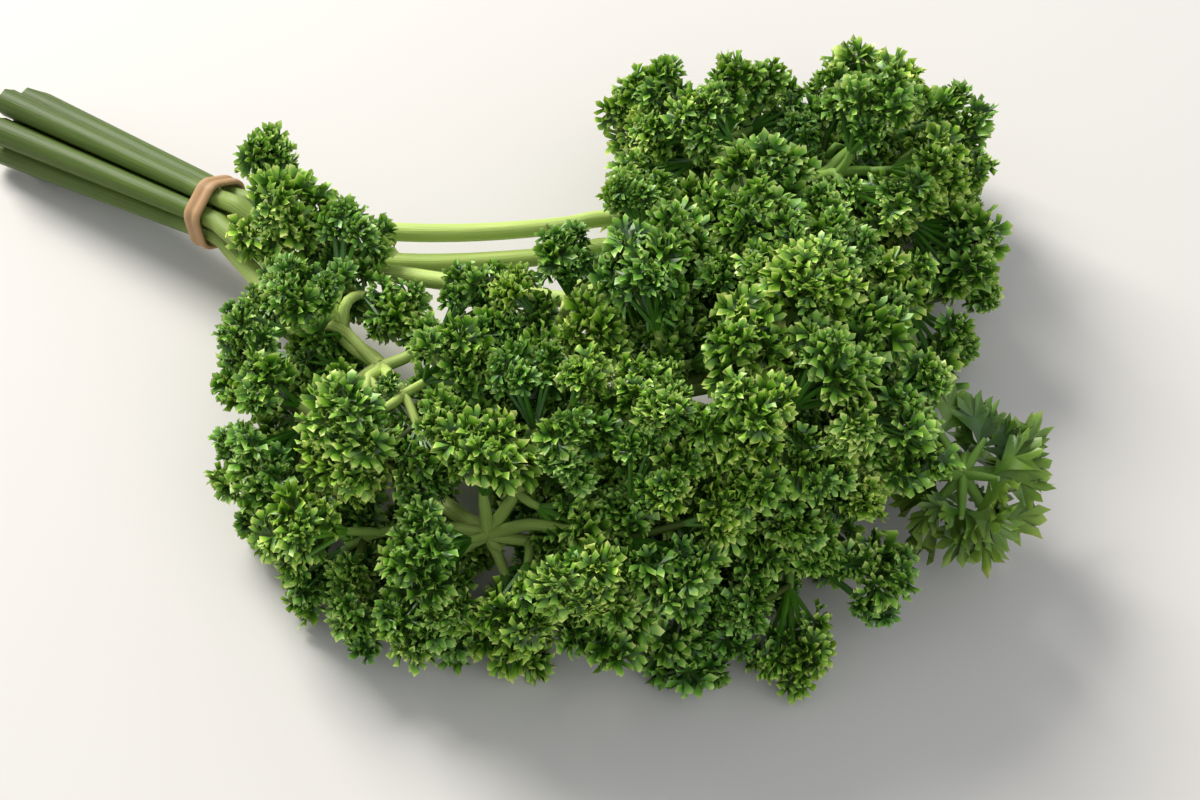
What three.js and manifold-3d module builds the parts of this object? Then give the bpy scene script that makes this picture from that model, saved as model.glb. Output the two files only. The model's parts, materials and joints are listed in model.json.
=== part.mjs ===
// A bunch of curly parsley, cut and tied, lying on its side on a flat surface.
//
// Seven fronds are held by one rubber band near their cut ends. A frond is one compound leaf: a
// juicy main stem, a crown where it forks into arching branches, short side stalks on the
// branches, and on the end of every stalk a tuft, which is a leaflet whose margin has grown so
// much longer than its base that it folds to and fro like a ruff, with teeth all along it.
//
// Millimetres. +X runs from the cut ends towards the leaves, +Y to the far side of the bunch and
// +Z up. The origin ends up under the middle of the whole bunch, on the surface it lies on.
import * as THREE from "three";
import { mergeVertices } from "three/addons/utils/BufferGeometryUtils.js";
import Module from "manifold-3d";

const wasm = await Module();
wasm.setup();

const DEG = Math.PI / 180;
const point = (x, y, z) => new THREE.Vector3(x, y, z);

// The tied bundle: where the band sits, where the cut ends lie, and the stems in it
const BAND_CENTRE = point(-80, 37, 17);
const CUT_CENTRE = point(-130, 72.5, 8.8);
const STEM_RADIUS = { cut: 3, band: 2.1, crown: 1.8 };
const STEM_GAP = 0.35;
const BUNDLE_SPLAY = 1.42; // how much wider the bundle is at its cut ends than in the band
const BAND = { width: 4.4, thickness: 1.1, groove: 0.35, sides: 36 };

// Branches, side stalks and tufts of every frond
const BRANCH = { base: 1.25, tip: 0.85, arch: 0.2, spacing: 17 };
const STALK = { length: 6, base: 0.85, tip: 0.7 };
const TUFT = { teeth: 9, folds: 4, fan: 76, fold: 38, notch: 0.74, waist: 0.5, thickness: 0.9 };

// How the fronds settle against each other: the gap they keep, and the beads that stand for them
const SETTLE = { rounds: 320, gap: 0.5, bead: 4, home: 0.03, floor: 0.86 };

// Each frond: its place in the band (angle round the middle stem, or none for the middle one), the
// way its stem takes from the band to its crown, and where the branches that leave the crown end.
// Low branches leave the stem before the crown, at a share of its length. The last numbers say how
// big its tufts are and how deeply they fold.
const FRONDS = [
  {
    name: "frond_back_left",
    ring: 30,
    way: [point(-46, 23, 26), point(-10, 20, 30), point(29, 29, 31)],
    ends: [point(22, 69, 9), point(25, 56, 21), point(17, 53, 9), point(34, 48, 29)],
    low: [],
    tuft: 8.6,
    ruffle: 1,
    seed: 11,
  },
  {
    name: "frond_back_right",
    ring: -30,
    way: [point(-46, 19, 21.5), point(-8, 15.5, 26.5), point(24, 22, 27), point(43, 35, 29)],
    ends: [
      point(52, 63, 9),
      point(68, 60, 21),
      point(72, 51, 9),
      point(70, 24, 22),
      point(52, 19, 38),
      point(68, 8, 9),
    ],
    low: [],
    tuft: 8.6,
    ruffle: 1,
    seed: 5,
  },
  {
    name: "frond_middle",
    ring: 90,
    way: [point(-50, 16, 24), point(-26, 5, 29), point(-6, -1, 31)],
    ends: [point(2, 11, 34), point(23, 4, 36), point(40, -1, 42), point(14, -14, 46), point(-8, -22, 38)],
    low: [],
    tuft: 8.2,
    ruffle: 1,
    seed: 37,
  },
  {
    name: "frond_right",
    ring: null,
    way: [point(-48, 10, 19), point(-20, -12, 25), point(7, -29, 34)],
    ends: [
      point(24, -29, 50),
      point(50, -12, 38),
      point(60, -13, 26),
      point(49, -37, 44),
      point(43, -50, 34),
      point(25, -48, 50),
      point(-3, -33, 43),
    ],
    low: [],
    tuft: 8.8,
    ruffle: 1,
    seed: 41,
  },
  {
    name: "frond_front_left",
    ring: 150,
    way: [point(-62, 13, 21), point(-41, -16, 28)],
    ends: [
      point(-60, 4, 14),
      point(-65, -21, 13),
      point(-64, -34, 9),
      point(-46, -37, 36),
      point(-30, -41, 40),
      point(-22, -10, 30),
    ],
    low: [
      { at: 0.25, end: point(-67, 24, 33) },
      { at: 0.45, end: point(-55, 7, 33) },
      { at: 0.7, end: point(-39, 8, 32) },
    ],
    tuft: 8,
    ruffle: 1,
    seed: 4,
  },
  {
    name: "frond_front",
    ring: 210,
    way: [point(-62, 9, 13), point(-46, -22, 14), point(-20, -52, 24)],
    ends: [
      point(-54, -43, 9),
      point(-39, -54, 9),
      point(-14, -58, 9),
      point(-22, -50, 42),
      point(-2, -45, 46),
      point(6, -60, 22),
      point(13, -62, 40),
    ],
    low: [],
    tuft: 8.4,
    ruffle: 1,
    seed: 7,
  },
  {
    name: "frond_far_right",
    ring: 270,
    way: [point(-46, 13, 11), point(-6, -6, 11), point(30, -26, 13), point(66, -36, 22)],
    ends: [point(75, -25, 24), point(83, -36, 22), point(76, -45, 16), point(62, -42, 9)],
    low: [
      { at: 0.6, end: point(18, -62, 9) },
      { at: 0.72, end: point(34, -60, 12) },
      { at: 0.84, end: point(48, -48, 12) },
    ],
    tuft: 8.8,
    ruffle: 0.6,
    seed: 79,
  },
];

// The bundle's own axes: along the stems, level across them, and up between those two
const bundleAlong = BAND_CENTRE.clone().sub(CUT_CENTRE).normalize();
const bundleAcross = point(0, 0, 1).cross(bundleAlong).normalize();
const bundleUp = bundleAlong.clone().cross(bundleAcross);

// Random numbers from 0 to 1, the same ones for the same seed
function randomFrom(seed) {
  let state = seed >>> 0;
  return () => {
    state = (state + 0x6d2b79f5) >>> 0;
    let t = Math.imul(state ^ (state >>> 15), state | 1);
    t = (t + Math.imul(t ^ (t >>> 7), t | 61)) ^ t;
    return ((t ^ (t >>> 14)) >>> 0) / 4294967296;
  };
}

// Where a stem stands in the bundle's cross-section: one in the middle, six round it
function placeInBundle(frond) {
  if (frond.ring === null) return point(0, 0, 0);
  const out = 2 * STEM_RADIUS.band + STEM_GAP;
  return bundleAcross
    .clone()
    .multiplyScalar(out * Math.cos(frond.ring * DEG))
    .addScaledVector(bundleUp, out * Math.sin(frond.ring * DEG));
}

// The bunch as a string of beads: every stem, branch and stalk is a row of small beads with bonds
// between neighbours, and every tuft is one big bead on the end of its stalk
const beads = [];
const bonds = [];

function addBead(at, radius, frond, give, isTuft = false) {
  beads.push({ at: at.clone(), home: at.clone(), radius, frond, give, isTuft });
  return beads.length - 1;
}

function addBond(a, b) {
  bonds.push({ a, b, length: beads[a].at.distanceTo(beads[b].at) });
}

// A row of beads through the given points, the first of them a bead that is there already
function addRow(from, points, radius, frond, give) {
  const row = [from];
  for (const at of points) {
    row.push(addBead(at, radius, frond, give));
    addBond(row.at(-2), row.at(-1));
  }
  return row;
}

// A tuft on the end of its stalk, which leaves a branch at one of its beads
function addTuft(from, way, stalkLength, radius, frond) {
  const start = beads[from].at;
  const middle = addBead(start.clone().addScaledVector(way, 0.6 * stalkLength), STALK.base, frond, 1);
  const tuft = addBead(start.clone().addScaledVector(way, stalkLength + radius), radius, frond, 1, true);
  addBond(from, middle);
  addBond(middle, tuft);
  return { from, middle, tuft };
}

// A branch from one bead towards its end point: it arches over, carries tufts on short stalks by
// turns on its left and its right, and ends in a tuft of its own
function addBranch(from, end, frond, index, random) {
  const start = beads[from].at;
  const span = end.clone().sub(start);
  const reach = span.length();
  const radius = frond.tuft * (0.95 + 0.15 * random());
  const tip = end.clone().addScaledVector(span, -radius / reach);
  const lifted = start.clone().lerp(tip, 0.5);
  lifted.z += BRANCH.arch * reach;
  const arc = new THREE.QuadraticBezierCurve3(start, lifted, tip);
  const count = Math.max(2, Math.round(tip.distanceTo(start) / SETTLE.bead));
  const row = addRow(from, arc.getPoints(count).slice(1), BRANCH.base, index, 1);
  const tufts = [];
  const sideTufts = Math.round(reach / BRANCH.spacing);
  for (let k = 0; k < sideTufts; k++) {
    const share = THREE.MathUtils.lerp(0.8, 0.4, k / Math.max(1, sideTufts - 1));
    const place = Math.min(2 * Math.ceil((share * count) / 2), 2 * Math.floor((count - 1) / 2));
    const along = arc.getTangent(share);
    const across = point(0, 0, 1).cross(along).normalize();
    const over = along.clone().cross(across);
    const lean = 100 * (random() - 0.4) * DEG;
    const way = along
      .clone()
      .multiplyScalar(0.5)
      .addScaledVector(across, (k % 2 ? -1 : 1) * Math.cos(lean))
      .addScaledVector(over, Math.sin(lean))
      .normalize();
    const from = row[place];
    const stalkLength = STALK.length * (0.7 + 0.6 * random());
    tufts.push(addTuft(from, way, stalkLength, frond.tuft * (0.86 + 0.2 * random()), index));
  }
  const along = arc.getTangent(1);
  const last = addBead(tip.clone().addScaledVector(along, radius), radius, index, 1, true);
  addBond(row.at(-1), last);
  return { row, last, tufts };
}

// Stem, branches and tufts of one frond as rows of beads
function addFrond(frond, index) {
  const random = randomFrom(frond.seed);
  const place = placeInBundle(frond);
  const cutEnd = CUT_CENTRE.clone().addScaledVector(place, BUNDLE_SPLAY);
  const inBand = BAND_CENTRE.clone().add(place);
  const outOfBand = inBand.clone().addScaledVector(bundleAlong, BAND.width);
  cutEnd.addScaledVector(bundleAlong, 5 * (random() - 0.5));

  const first = addBead(cutEnd, STEM_RADIUS.cut, index, 0);
  const bandBead = addBead(inBand, STEM_RADIUS.band, index, 0);
  const outBead = addBead(outOfBand, STEM_RADIUS.band, index, 0);
  const way = new THREE.CatmullRomCurve3([inBand, outOfBand, ...frond.way], false, "catmullrom", 0.5);
  const count = Math.round(way.getLength() / SETTLE.bead);
  const onward = way.getSpacedPoints(count).filter((at) => at.distanceTo(inBand) > BAND.width + 1);
  const crown = onward.pop();
  const row = addRow(outBead, onward, STEM_RADIUS.band * 0.95, index, 0.25);
  row.push(addBead(crown, STEM_RADIUS.crown, index, 0.1));
  addBond(row.at(-2), row.at(-1));

  const branches = frond.low.map(({ at, end }) => {
    return addBranch(row[3 * Math.round((at * row.length) / 3)], end, frond, index, random);
  });
  for (const end of frond.ends) branches.push(addBranch(row.at(-1), end, frond, index, random));
  return { stem: [first, bandBead, ...row], branches };
}

// Beads of different fronds push each other apart, bonds keep their length, nothing sinks through
// the surface, and every bead is drawn back a little to where it grew
function settle() {
  const pairs = [];
  for (let i = 0; i < beads.length; i++)
    for (let j = i + 1; j < beads.length; j++) {
      const a = beads[i];
      const b = beads[j];
      if (a.give + b.give === 0) continue;
      const strangers = a.frond !== b.frond;
      let room = a.radius + b.radius;
      if (strangers) room += a.isTuft || b.isTuft ? SETTLE.gap : SETTLE.gap + 1;
      const tufts = a.isTuft && b.isTuft;
      const apart = (a.isTuft || b.isTuft) && a.home.distanceTo(b.home) > 0.9 * room;
      if (strangers || tufts || apart) pairs.push([a, b, room]);
    }
  const push = point(0, 0, 0);
  for (let round = 0; round < SETTLE.rounds; round++) {
    for (const bead of beads) {
      bead.move = point(0, 0, 0);
      bead.met = 0;
    }
    const shift = (a, b, gain) => {
      const whole = a.give + b.give;
      push.multiplyScalar(gain);
      a.move.addScaledVector(push, a.give / whole);
      b.move.addScaledVector(push, -b.give / whole);
      a.met++;
      b.met++;
    };
    for (const [a, b, room] of pairs) {
      push.subVectors(a.at, b.at);
      const apart = push.length();
      if (apart < room && apart > 1e-6) shift(a, b, (room - apart) / apart);
    }
    for (const bond of bonds) {
      const a = beads[bond.a];
      const b = beads[bond.b];
      if (a.give + b.give === 0) continue;
      push.subVectors(a.at, b.at);
      shift(a, b, (bond.length - push.length()) / push.length());
    }
    const pull = SETTLE.home * (1 - round / SETTLE.rounds);
    for (const bead of beads) {
      if (bead.give === 0) continue;
      if (bead.met) bead.at.addScaledVector(bead.move, 1 / Math.sqrt(bead.met));
      bead.at.lerp(bead.home, pull);
      bead.at.z = Math.max(bead.at.z, bead.radius * SETTLE.floor);
    }
  }
}

// The room that a tuft has left between its neighbours
function roomFor(tuft) {
  let room = tuft.radius;
  for (const other of beads) {
    if (other === tuft || (other.frond === tuft.frond && !other.isTuft)) continue;
    const gap = other.frond === tuft.frond ? 0 : SETTLE.gap;
    const apart = tuft.at.distanceTo(other.at) - gap;
    const share = tuft.radius / (tuft.radius + other.radius);
    room = Math.min(room, other.isTuft ? apart * share : apart - other.radius - 0.3);
  }
  return room;
}

// A closed geometry from corner points and the triangles between them
function closedGeometry(corners, triangles) {
  const geometry = new THREE.BufferGeometry();
  geometry.setAttribute("position", new THREE.Float32BufferAttribute(corners.flatMap((c) => c.toArray()), 3));
  geometry.setIndex(triangles.flat());
  return geometry;
}

// A tapering tube along a row of points: its rings of corners, and its sides and first end as
// triangles. Roll turns the whole tube round its own line.
function openTube(points, radii, sides, roll = 0) {
  const corners = [];
  const triangles = [];
  const tangent = points[1].clone().sub(points[0]).normalize();
  const normal = point(0, 0, 1).cross(tangent).normalize().applyAxisAngle(tangent, roll);
  const binormal = point(0, 0, 0);
  points.forEach((at, i) => {
    const before = points[Math.max(i - 1, 0)];
    const after = points[Math.min(i + 1, points.length - 1)];
    tangent.subVectors(after, before).normalize();
    normal.addScaledVector(tangent, -normal.dot(tangent)).normalize();
    binormal.crossVectors(tangent, normal);
    for (let k = 0; k < sides; k++) {
      const turn = (2 * Math.PI * k) / sides;
      const out = normal.clone().multiplyScalar(Math.cos(turn)).addScaledVector(binormal, Math.sin(turn));
      corners.push(at.clone().addScaledVector(out, radii[i]));
    }
  });
  for (let i = 0; i + 1 < points.length; i++)
    for (let k = 0; k < sides; k++) {
      const a = i * sides + k;
      const b = i * sides + ((k + 1) % sides);
      triangles.push([a, b, b + sides], [a, b + sides, a + sides]);
    }
  for (let k = 1; k + 1 < sides; k++) triangles.push([0, k + 1, k]);
  return { corners, triangles, tangent, normal, binormal };
}

// A tube that is closed at its far end too
function closedTube(points, radii, sides) {
  const { corners, triangles } = openTube(points, radii, sides);
  const last = corners.length - sides;
  for (let k = 1; k + 1 < sides; k++) triangles.push([last, last + k, last + k + 1]);
  return closedGeometry(corners, triangles);
}

// A stalk that ends in a tuft. The tuft is a fan that folds to and fro between the stalk's end and
// the far side of a ball: every ray of the fan ends on the ball, so the whole ruff fits in it, and
// teeth are cut along the margin. The stalk has four sides; its last ring's corners carry the two
// faces and the two side edges of the fan, so stalk and leaf are one skin.
function tuftOnStalk(points, radii, ball, ruffle, phase, roll) {
  const { corners, triangles, tangent, normal, binormal } = openTube(points, radii, 4, roll);
  const root = points.at(-1);
  const [right, front, left, back] = [4, 3, 2, 1].map((k) => corners.length - k);
  const ray = (u) => {
    const fan = TUFT.fan * DEG * u;
    const fold = TUFT.fold * DEG * ruffle * Math.sin(Math.PI * TUFT.folds * 0.5 * (u + 1) + phase);
    return point(Math.sin(fan) * Math.cos(fold), Math.sin(fold), Math.cos(fan) * Math.cos(fold));
  };
  const place = (local) =>
    root
      .clone()
      .addScaledVector(normal, local.x)
      .addScaledVector(binormal, local.y)
      .addScaledVector(tangent, local.z);
  const reach = (way) => 2 * ball * Math.max(way.z, 0.16);
  const columns = TUFT.teeth + 1;
  const waists = corners.length;
  for (const face of [1, -1])
    for (let i = 0; i < columns; i++) {
      const u = (2 * i) / TUFT.teeth - 1;
      const way = ray(u);
      const outward = way.clone().cross(ray(u + 0.01)).normalize();
      const waist = way.clone().multiplyScalar(reach(way) * TUFT.waist);
      corners.push(place(waist.addScaledVector(outward, (face * TUFT.thickness) / 2)));
    }
  const notches = corners.length;
  for (let i = 0; i < columns; i++) {
    const way = ray((2 * i) / TUFT.teeth - 1);
    corners.push(place(way.multiplyScalar(reach(way) * TUFT.notch)));
  }
  const tips = corners.length;
  for (let i = 0; i < TUFT.teeth; i++) {
    const way = ray((2 * i + 1) / TUFT.teeth - 1);
    corners.push(place(way.multiplyScalar(reach(way))));
  }
  for (let i = 0; i < TUFT.teeth; i++) {
    const a = waists + i;
    const b = a + columns;
    const notch = notches + i;
    const tip = tips + i;
    triangles.push([front, a, a + 1], [a, notch, tip], [a, tip, a + 1], [a + 1, tip, notch + 1]);
    triangles.push([back, b + 1, b], [b, tip, notch], [b, b + 1, tip], [b + 1, notch + 1, tip]);
  }
  const [a, b, notch] = [waists, waists + columns, notches];
  triangles.push([front, left, a], [left, back, b], [left, b, a], [a, b, notch]);
  const [a2, b2, notch2] = [a + TUFT.teeth, b + TUFT.teeth, notch + TUFT.teeth];
  triangles.push([right, front, a2], [back, right, b2], [right, a2, b2], [a2, notch2, b2]);
  return closedGeometry(corners, triangles);
}

// A solid from a closed geometry, and a geometry from a solid
function solidOf(geometry) {
  geometry.deleteAttribute("normal");
  geometry.deleteAttribute("uv");
  const merged = mergeVertices(geometry, 1e-4);
  return new wasm.Manifold(
    new wasm.Mesh({
      numProp: 3,
      vertProperties: merged.attributes.position.array,
      triVerts: new Uint32Array(merged.index.array),
    }),
  );
}

function geometryOf(solid) {
  const mesh = solid.getMesh();
  const geometry = new THREE.BufferGeometry();
  geometry.setAttribute("position", new THREE.BufferAttribute(mesh.vertProperties, 3));
  geometry.setIndex(new THREE.BufferAttribute(mesh.triVerts, 1));
  geometry.computeVertexNormals();
  return geometry;
}

// Every second or third bead of a row, with both ends, as the points that its tube follows
function everyOther(row, step) {
  return row.filter((_, i) => i % step === 0 || i === row.length - 1).map((i) => beads[i].at);
}

// Radii along a row of points, from one end's to the other's
function taper(points, from, to) {
  return points.map((_, i) => THREE.MathUtils.lerp(from, to, i / (points.length - 1)));
}

function stemSolid(stem) {
  const beforeBand = beads[stem[1]].at.clone().addScaledVector(bundleAlong, -BAND.width);
  const points = [beforeBand, ...everyOther(stem.slice(2), 3)];
  const radii = taper(points, STEM_RADIUS.band, STEM_RADIUS.crown);
  points.unshift(beads[stem[0]].at);
  radii.unshift(STEM_RADIUS.cut);
  const onward = points.at(-1).clone().sub(points.at(-2)).setLength(STEM_RADIUS.crown);
  points.push(points.at(-1).clone().add(onward));
  radii.push(0.6 * STEM_RADIUS.crown);
  return solidOf(closedTube(points, radii, 7));
}

// A tuft with the stalk or branch that carries it, given as the points up to the tuft's ball
function tuftSolid(points, base, tip, tuft, ruffle, random) {
  const ball = beads[tuft];
  const radius = roomFor(ball);
  const along = ball.at.clone().sub(points.at(-1)).normalize();
  const root = ball.at.clone().addScaledVector(along, -radius);
  const path = [...points, root];
  const radii = taper(path, base, tip);
  radii[0] *= 0.6; // the root is slimmer, inside what it grows out of
  const roll = Math.PI * random();
  return solidOf(tuftOnStalk(path, radii, radius, ruffle, 2 * Math.PI * random(), roll));
}

// One frond as a single solid, flat where it presses on the surface below
function frondSolid(grown, frond) {
  const random = randomFrom(frond.seed + 1000);
  const solids = [stemSolid(grown.stem)];
  for (const { row, last, tufts } of grown.branches) {
    solids.push(tuftSolid(everyOther(row, 2), BRANCH.base, BRANCH.tip, last, frond.ruffle, random));
    for (const { from, middle, tuft } of tufts) {
      const points = [beads[from].at, beads[middle].at];
      solids.push(tuftSolid(points, STALK.base, STALK.tip, tuft, frond.ruffle, random));
    }
  }
  const whole = wasm.Manifold.union(solids).trimByPlane([0, 0, 1], 0);
  const bodies = whole.decompose().sort((a, b) => b.volume() - a.volume());
  return bodies[0];
}

// The rubber band: a flat ring stretched round the outermost stems, with a groove between its two
// turns. Its inner line is the outline of the stems, so it touches each of them.
function bandGeometry() {
  const half = BAND.width / 2;
  const section = [
    [-half, 0.1],
    [half, 0.1],
    [half, 0.75],
    [half * 0.55, 1],
    [0, 1 - BAND.groove],
    [-half * 0.55, 1],
    [-half, 0.75],
  ];
  const corners = [];
  const triangles = [];
  for (let k = 0; k < BAND.sides; k++) {
    const { out, outermost } = outwards((2 * Math.PI * k) / BAND.sides);
    for (const [along, height] of section) {
      const rise = STEM_RADIUS.band + STEM_GAP + height * BAND.thickness;
      corners.push(
        BAND_CENTRE.clone()
          .add(outermost)
          .addScaledVector(out, rise)
          .addScaledVector(bundleAlong, along),
      );
    }
  }
  const n = section.length;
  for (let k = 0; k < BAND.sides; k++)
    for (let i = 0; i < n; i++) {
      const a = k * n + i;
      const b = k * n + ((i + 1) % n);
      const shift = (((k + 1) % BAND.sides) - k) * n;
      triangles.push([a, b, b + shift], [a, b + shift, a + shift]);
    }
  return closedGeometry(corners, triangles);
}

const leafGreen = new THREE.MeshStandardMaterial({ color: 0x3f7a2a, roughness: 0.45, metalness: 0 });
const bandTan = new THREE.MeshStandardMaterial({ color: 0xc49363, roughness: 0.6, metalness: 0 });

function namedMesh(name, geometry, material) {
  const mesh = new THREE.Mesh(geometry, material);
  mesh.name = name;
  return mesh;
}

// The way out of the bundle at an angle round it, and the stem that stands out the furthest there
function outwards(turn) {
  const out = bundleAcross.clone().multiplyScalar(Math.cos(turn)).addScaledVector(bundleUp, Math.sin(turn));
  const places = FRONDS.map(placeInBundle);
  return { out, outermost: places.reduce((best, at) => (at.dot(out) > best.dot(out) ? at : best)) };
}

// The band as beads, for the tufts beside it to keep clear of
function addBand() {
  for (let k = 0; k < 16; k++) {
    const { out, outermost } = outwards((2 * Math.PI * k) / 16);
    const at = BAND_CENTRE.clone().add(outermost).addScaledVector(out, STEM_RADIUS.band + STEM_GAP + 0.6);
    addBead(at, BAND.width / 2, -1, 0);
  }
}

const bunch = new THREE.Group();
addBand();
const grown = FRONDS.map(addFrond);
settle();
FRONDS.forEach((frond, i) => {
  bunch.add(namedMesh(frond.name, geometryOf(frondSolid(grown[i], frond)), leafGreen));
});
bunch.add(namedMesh("rubber_band", bandGeometry(), bandTan));

// The bunch is moved so that the origin is under its middle
const bounds = new THREE.Box3().setFromObject(bunch, true);
const middle = bounds.getCenter(point(0, 0, 0));
bunch.position.set(-middle.x, -middle.y, -bounds.min.z);

export default bunch;
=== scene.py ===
# %% [markdown]
# # A bunch of curly parsley
# A small cut bunch lies on its side: seven leaves, which growers call fronds, held by one rubber
# band. The imported model already has every frond as a coarse solid, with its stem, its stalks and
# one folded fan for each leaflet. This lesson dresses those solids. It grows the same fronds by the
# same rule, so that each fine leaflet sits exactly where its coarse one is.
#
# First the model is loaded, and its box is kept to press the leaves into and to print at the end.

# %% Load the model
import json
import math

import bpy
import numpy as np
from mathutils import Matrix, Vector

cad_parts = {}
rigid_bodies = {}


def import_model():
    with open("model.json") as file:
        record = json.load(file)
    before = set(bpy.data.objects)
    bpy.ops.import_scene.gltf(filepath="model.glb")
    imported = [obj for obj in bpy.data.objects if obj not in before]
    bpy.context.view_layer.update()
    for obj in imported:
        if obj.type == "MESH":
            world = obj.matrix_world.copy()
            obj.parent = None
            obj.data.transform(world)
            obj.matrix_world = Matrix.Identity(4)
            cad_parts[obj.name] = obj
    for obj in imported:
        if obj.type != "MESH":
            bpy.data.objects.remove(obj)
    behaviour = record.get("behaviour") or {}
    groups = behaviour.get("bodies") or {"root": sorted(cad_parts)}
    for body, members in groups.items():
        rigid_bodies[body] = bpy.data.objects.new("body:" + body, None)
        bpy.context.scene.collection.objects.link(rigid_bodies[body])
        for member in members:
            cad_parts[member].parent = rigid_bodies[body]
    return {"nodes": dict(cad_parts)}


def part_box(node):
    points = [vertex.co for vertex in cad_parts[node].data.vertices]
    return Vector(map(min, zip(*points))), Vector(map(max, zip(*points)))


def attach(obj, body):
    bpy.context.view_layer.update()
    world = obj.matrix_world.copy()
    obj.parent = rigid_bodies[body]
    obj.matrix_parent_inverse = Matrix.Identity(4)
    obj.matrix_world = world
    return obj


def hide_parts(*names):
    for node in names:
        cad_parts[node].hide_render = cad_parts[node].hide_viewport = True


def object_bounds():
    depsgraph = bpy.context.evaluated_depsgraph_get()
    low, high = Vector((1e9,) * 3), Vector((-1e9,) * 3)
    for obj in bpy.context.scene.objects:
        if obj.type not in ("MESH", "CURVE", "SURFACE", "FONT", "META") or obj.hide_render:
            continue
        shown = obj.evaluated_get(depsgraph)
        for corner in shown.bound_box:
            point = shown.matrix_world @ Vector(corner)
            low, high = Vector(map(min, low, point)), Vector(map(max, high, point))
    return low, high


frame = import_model()
cad_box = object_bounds()
print("nodes", sorted(frame["nodes"]))
print("box in mm", [round(1000 * c, 1) for corner in cad_box for c in corner])

# %% [markdown]
# ## The measurements of the plant
# A frond is a stem that forks at its crown into arching branches. Each branch carries short stalks
# by turns on its left and its right, and every stalk ends in a tuft. The numbers could be guessed
# again here, but then leaf and stalk wouldn't meet, so they are the ones the solids were grown
# from: millimetres, with the bunch's length along X, its far side at +Y and up at +Z.

# %% Measurements
BAND_CENTRE = np.array([-80.0, 37.0, 17.0])
CUT_CENTRE = np.array([-130.0, 72.5, 8.8])
CUT_RADIUS, STEM_RADIUS, CROWN_RADIUS = 3, 2.1, 1.8
STEM_GAP = 0.35
BUNDLE_SPLAY = 1.42
BAND_WIDTH = 4.4
BAND_THICKNESS = 1.1
BAND_SIDES = 36
BRANCH_BASE, BRANCH_TIP, BRANCH_ARCH, BRANCH_SPACING = 1.25, 0.85, 0.2, 17
STALK_LENGTH, STALK_BASE, STALK_TIP = 6, 0.85, 0.7
ROUNDS, GAP, BEAD, HOME, FLOOR = 320, 0.5, 4, 0.03, 0.86

# %% [markdown]
# ## The fronds
# Each frond has a place in the band, a way for its stem to take, the points where its branches end,
# and sometimes low branches that leave the stem before the crown. They were read off the
# photograph, tuft by tuft, because no rule says how a handful of leaves happens to fall.

# %% The seven fronds
FRONDS = [
    dict(
        name="frond_back_left", ring=30, tuft=8.6, seed=11,
        way=[(-46, 23, 26), (-10, 20, 30), (29, 29, 31)],
        ends=[(22, 69, 9), (25, 56, 21), (17, 53, 9), (34, 48, 29)],
        low=[],
    ),
    dict(
        name="frond_back_right", ring=-30, tuft=8.6, seed=5,
        way=[(-46, 19, 21.5), (-8, 15.5, 26.5), (24, 22, 27), (43, 35, 29)],
        ends=[(52, 63, 9), (68, 60, 21), (72, 51, 9), (70, 24, 22), (52, 19, 38), (68, 8, 9)],
        low=[],
    ),
    dict(
        name="frond_middle", ring=90, tuft=8.2, seed=37,
        way=[(-50, 16, 24), (-26, 5, 29), (-6, -1, 31)],
        ends=[(2, 11, 34), (23, 4, 36), (40, -1, 42), (14, -14, 46), (-8, -22, 38)],
        low=[],
    ),
    dict(
        name="frond_right", ring=None, tuft=8.8, seed=41,
        way=[(-48, 10, 19), (-20, -12, 25), (7, -29, 34)],
        ends=[
            (24, -29, 50), (50, -12, 38), (60, -13, 26), (49, -37, 44),
            (43, -50, 34), (25, -48, 50), (-3, -33, 43),
        ],
        low=[],
    ),
    dict(
        name="frond_front_left", ring=150, tuft=8, seed=4,
        way=[(-62, 13, 21), (-41, -16, 28)],
        ends=[
            (-60, 4, 14), (-65, -21, 13), (-64, -34, 9),
            (-46, -37, 36), (-30, -41, 40), (-22, -10, 30),
        ],
        low=[(0.25, (-67, 24, 33)), (0.45, (-55, 7, 33)), (0.7, (-39, 8, 32))],
    ),
    dict(
        name="frond_front", ring=210, tuft=8.4, seed=7,
        way=[(-62, 9, 13), (-46, -22, 14), (-20, -52, 24)],
        ends=[
            (-54, -43, 9), (-39, -54, 9), (-14, -58, 9), (-22, -50, 42),
            (-2, -45, 46), (6, -60, 22), (13, -62, 40),
        ],
        low=[],
    ),
    dict(
        name="frond_far_right", ring=270, tuft=8.8, seed=79,
        way=[(-46, 13, 11), (-6, -6, 11), (30, -26, 13), (66, -36, 22)],
        ends=[(75, -25, 24), (83, -36, 22), (76, -45, 16), (62, -42, 9)],
        low=[(0.6, (18, -62, 9)), (0.72, (34, -60, 12)), (0.84, (48, -48, 12))],
    ),
]
print(len(FRONDS), "fronds,", sum(len(f["ends"]) + len(f["low"]) for f in FRONDS), "branches")


# %% [markdown]
# ## Growing the fronds
# The plant is first only a string of beads: small beads along stems, branches and stalks, and one
# big bead for each tuft. Beads are easy to push apart, which solids aren't. The random numbers come
# from a small generator written out here, because the usual one would draw other numbers than the
# solids were grown with.

# %% Random numbers and curves
WORD = 0xFFFFFFFF


def random_from(seed):
    """A function that draws numbers from 0 to 1, the same ones for the same seed."""
    state = seed

    def draw():
        nonlocal state
        state = (state + 0x6D2B79F5) & WORD
        t = ((state ^ (state >> 15)) * (state | 1)) & WORD
        t = ((t + (t ^ (t >> 7)) * (t | 61)) ^ t) & WORD
        return (t ^ (t >> 14)) / 4294967296

    return draw


def unit(v):
    return v / np.linalg.norm(v)


def axes_across(along):
    """The level direction across another one, and the direction over both."""
    across = unit(np.cross([0, 0, 1], along))
    return across, np.cross(along, across)


def half_up(x):
    """The nearest whole number, with halves rounded up."""
    return math.floor(x + 0.5)


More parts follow.
